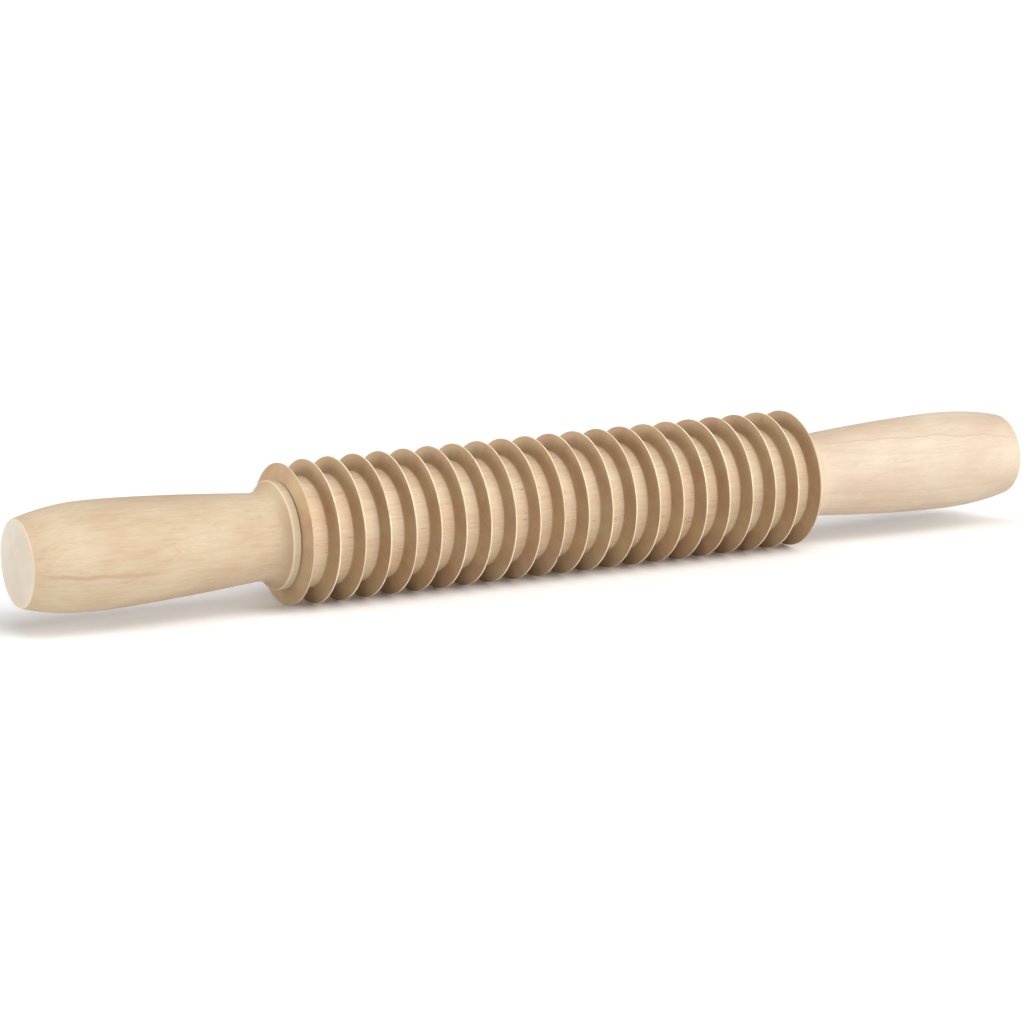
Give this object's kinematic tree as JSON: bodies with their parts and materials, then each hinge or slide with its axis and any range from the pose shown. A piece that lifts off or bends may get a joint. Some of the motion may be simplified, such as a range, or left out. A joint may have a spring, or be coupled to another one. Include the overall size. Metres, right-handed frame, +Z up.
{
  "type": "grooved pasta cutting rolling pin",
  "caption": "Wooden rolling pin with sharp ring blades along a revolving roller and two turned handles, for cutting rolled dough into strips.",
  "frame": {"origin": "on the axle's centre line, half way along the pin", "axes": "+X along the axle towards the right handle, +Z up as it lies on a table, +Y away from the user"},
  "size_m": [0.32, 0.04, 0.04],
  "materials": {
    "roller_wood": "bare, finely turned",
    "handle_wood": "bare, sanded smooth",
    "axle_steel": "drawn bar",
    "bushing_nylon": "moulded",
    "washer_steel": "stamped"
  },
  "bodies": {
    "handles": {"left_handle": "handle_wood", "right_handle": "handle_wood", "axle_rod": "axle_steel"},
    "roller": {"roller_core": "roller_wood", "blade_01": "roller_wood", "blade_02": "roller_wood", "blade_03": "roller_wood", "blade_04": "roller_wood", "blade_05": "roller_wood", "blade_06": "roller_wood", "blade_07": "roller_wood", "blade_08": "roller_wood", "blade_09": "roller_wood", "blade_10": "roller_wood", "blade_11": "roller_wood", "blade_12": "roller_wood", "blade_13": "roller_wood", "blade_14": "roller_wood", "blade_15": "roller_wood", "blade_16": "roller_wood", "blade_17": "roller_wood", "blade_18": "roller_wood", "blade_19": "roller_wood", "blade_20": "roller_wood", "blade_21": "roller_wood", "blade_22": "roller_wood", "left_bushing": "bushing_nylon", "right_bushing": "bushing_nylon"},
    "left_washer": {"left_thrust_washer": "washer_steel"},
    "right_washer": {"right_thrust_washer": "washer_steel"}
  },
  "joints": [
    {"name": "roller_spin", "type": "hinge", "parent": "handles", "child": "roller", "pos_m": [0, 0, 0], "axis": [1, 0, 0], "continuous": true},
    {"name": "left_washer_spin", "type": "hinge", "parent": "handles", "child": "left_washer", "pos_m": [-0.08375, 0, 0], "axis": [1, 0, 0], "continuous": true},
    {"name": "right_washer_spin", "type": "hinge", "parent": "handles", "child": "right_washer", "pos_m": [0.08375, 0, 0], "axis": [1, 0, 0], "continuous": true}
  ]
}
